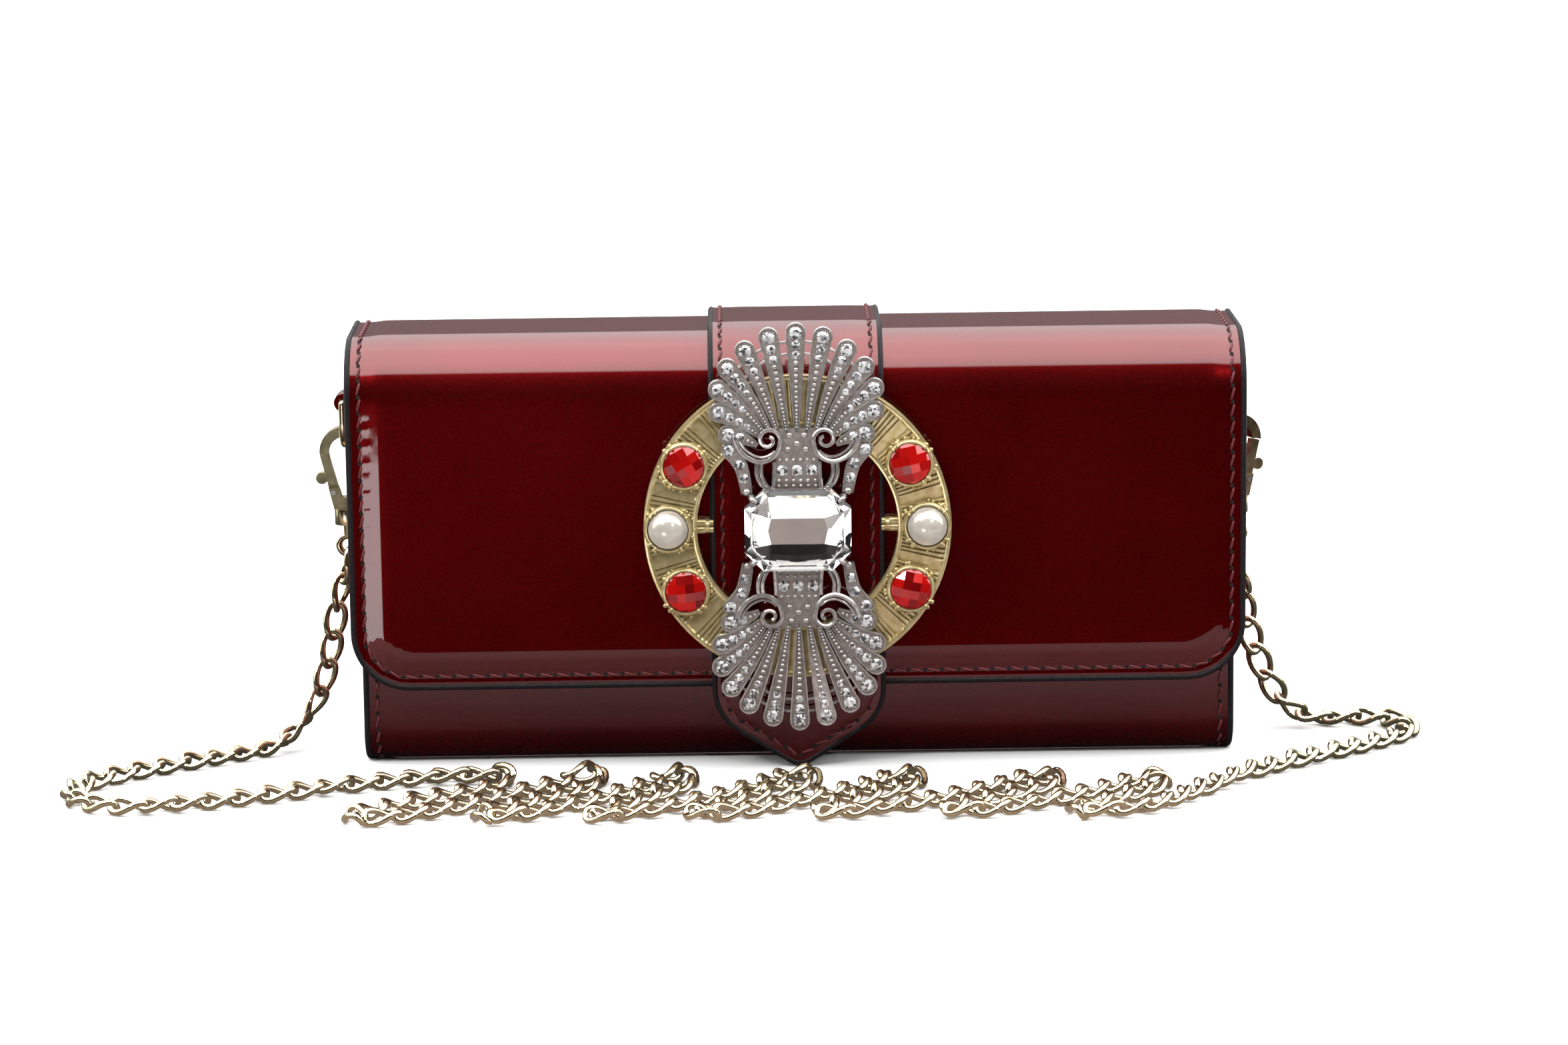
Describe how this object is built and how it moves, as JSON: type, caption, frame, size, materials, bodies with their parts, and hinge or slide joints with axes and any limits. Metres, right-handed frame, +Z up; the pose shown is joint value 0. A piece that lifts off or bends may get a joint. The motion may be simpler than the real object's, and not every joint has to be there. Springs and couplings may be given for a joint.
{
  "type": "clutch purse",
  "caption": "Flap-over clutch purse with a jewelled ring buckle on a centre strap, a hidden magnetic snap and a clip-on curb chain on two clasps.",
  "frame": {"origin": "centre of the base, on the surface the purse stands on", "axes": "+X to the right seen from the front, the front faces -Y, +Z up"},
  "size_m": [0.3371, 0.1166, 0.1119],
  "materials": {
    "patent_leather": "glossy burgundy patent, black painted edges",
    "lining": "matt black woven lining",
    "board": "grey-brown stiffener board",
    "antique_gold": "pale antique gold cast metal",
    "pale_gold": "pale champagne gold plated",
    "clasp_gold": "pale champagne gold plated",
    "antique_silver": "bright raised rims over a satin field",
    "crystal": "clear cut crystal",
    "red_glass": "foiled red cut glass",
    "pearl": "pearl lustre",
    "steel": "plain steel",
    "magnet": "dark ferrite"
  },
  "bodies": {
    "purse": {"wrap_leather": "patent_leather", "front_board": "board", "back_board": "board", "base_board": "board", "main_lining": "lining", "gusset_left": "patent_leather", "gusset_right": "patent_leather", "card_pocket": "lining", "flap_back_leather": "patent_leather", "flap_back_lining": "lining", "strap_back": "patent_leather", "ring_tab_left": "patent_leather", "ring_tab_right": "patent_leather", "tab_rivets": "clasp_gold", "snap_socket": "clasp_gold", "snap_magnet": "magnet", "snap_socket_washer": "steel", "chain_left": "pale_gold", "chain_folds": "pale_gold", "chain_right": "pale_gold", "clasp_left_swivel": "clasp_gold", "clasp_right_swivel": "clasp_gold"},
    "flap_top": {"flap_top_leather": "patent_leather", "flap_top_lining": "lining", "strap_top": "patent_leather", "flap_rear_shoulder": "patent_leather", "strap_rear_shoulder": "patent_leather"},
    "flap_front": {"flap_front_leather": "patent_leather", "flap_front_board": "board", "flap_front_lining": "lining", "flap_front_shoulder": "patent_leather", "strap_front_shoulder": "patent_leather", "strap_front_leather": "patent_leather", "strap_backing_upper": "patent_leather", "strap_backing_lower": "patent_leather", "snap_stud": "clasp_gold", "snap_stud_washer": "steel", "buckle_ring": "antique_gold", "buckle_bar": "antique_gold", "stone_settings": "antique_gold", "pearls": "pearl", "red_stones": "red_glass", "shell_ornament": "antique_silver", "crystal_setting": "antique_silver", "centre_crystal": "crystal", "rhinestones": "crystal", "ornament_rivets": "antique_silver"},
    "dee_left": {"dee_ring_left": "clasp_gold"},
    "dee_right": {"dee_ring_right": "clasp_gold"},
    "clasp_left": {"clasp_left_hook": "clasp_gold", "clasp_left_pin": "steel", "clasp_left_spring": "steel"},
    "clasp_right": {"clasp_right_hook": "clasp_gold", "clasp_right_pin": "steel", "clasp_right_spring": "steel"},
    "clasp_left_lever": {"clasp_left_lever": "clasp_gold"},
    "clasp_right_lever": {"clasp_right_lever": "clasp_gold"}
  },
  "joints": [
    {"name": "flap_rear_fold", "type": "hinge", "parent": "purse", "child": "flap_top", "pos_m": [0, 0.02117, 0.10378], "axis": [-1, 0, 0], "range_deg": [0, 100], "deforming": ["flap_rear_shoulder", "strap_rear_shoulder"]},
    {"name": "flap_front_fold", "type": "hinge", "parent": "flap_top", "child": "flap_front", "pos_m": [0, -0.02538, 0.10378], "axis": [-1, 0, 0], "range_deg": [0, 90], "deforming": ["flap_front_shoulder", "strap_front_shoulder"]},
    {"name": "dee_left_swing", "type": "hinge", "parent": "purse", "child": "dee_left", "pos_m": [-0.1126, 0, 0.0884], "axis": [0, 1, 0], "range_deg": [-3, 3]},
    {"name": "dee_right_swing", "type": "hinge", "parent": "purse", "child": "dee_right", "pos_m": [0.1106, 0, 0.0884], "axis": [0, 1, 0], "range_deg": [-3, 3]},
    {"name": "clasp_left_swivel_turn", "type": "hinge", "parent": "purse", "child": "clasp_left", "pos_m": [-0.1126, 0, 0.058], "axis": [0, 0, 1], "range_deg": [-25, 25]},
    {"name": "clasp_right_swivel_turn", "type": "hinge", "parent": "purse", "child": "clasp_right", "pos_m": [0.1106, 0, 0.058], "axis": [0, 0, 1], "range_deg": [-45, 0]},
    {"name": "clasp_left_lever_press", "type": "hinge", "parent": "clasp_left", "child": "clasp_left_lever", "pos_m": [-0.1159, 0, 0.0652], "axis": [0, 1, 0], "range_deg": [0, 22], "stiffness_Nm_per_rad": 0.02, "springref_deg": -11.46, "deforming": ["clasp_left_spring"]},
    {"name": "clasp_right_lever_press", "type": "hinge", "parent": "clasp_right", "child": "clasp_right_lever", "pos_m": [0.11359, 0.00139, 0.0652], "axis": [0.4226, -0.9063, 0], "range_deg": [0, 22], "stiffness_Nm_per_rad": 0.02, "springref_deg": -11.46, "deforming": ["clasp_right_spring"]}
  ],
  "couplings": [
    {"joint": "flap_front_fold", "follows": "flap_rear_fold", "ratio": 0.9}
  ]
}
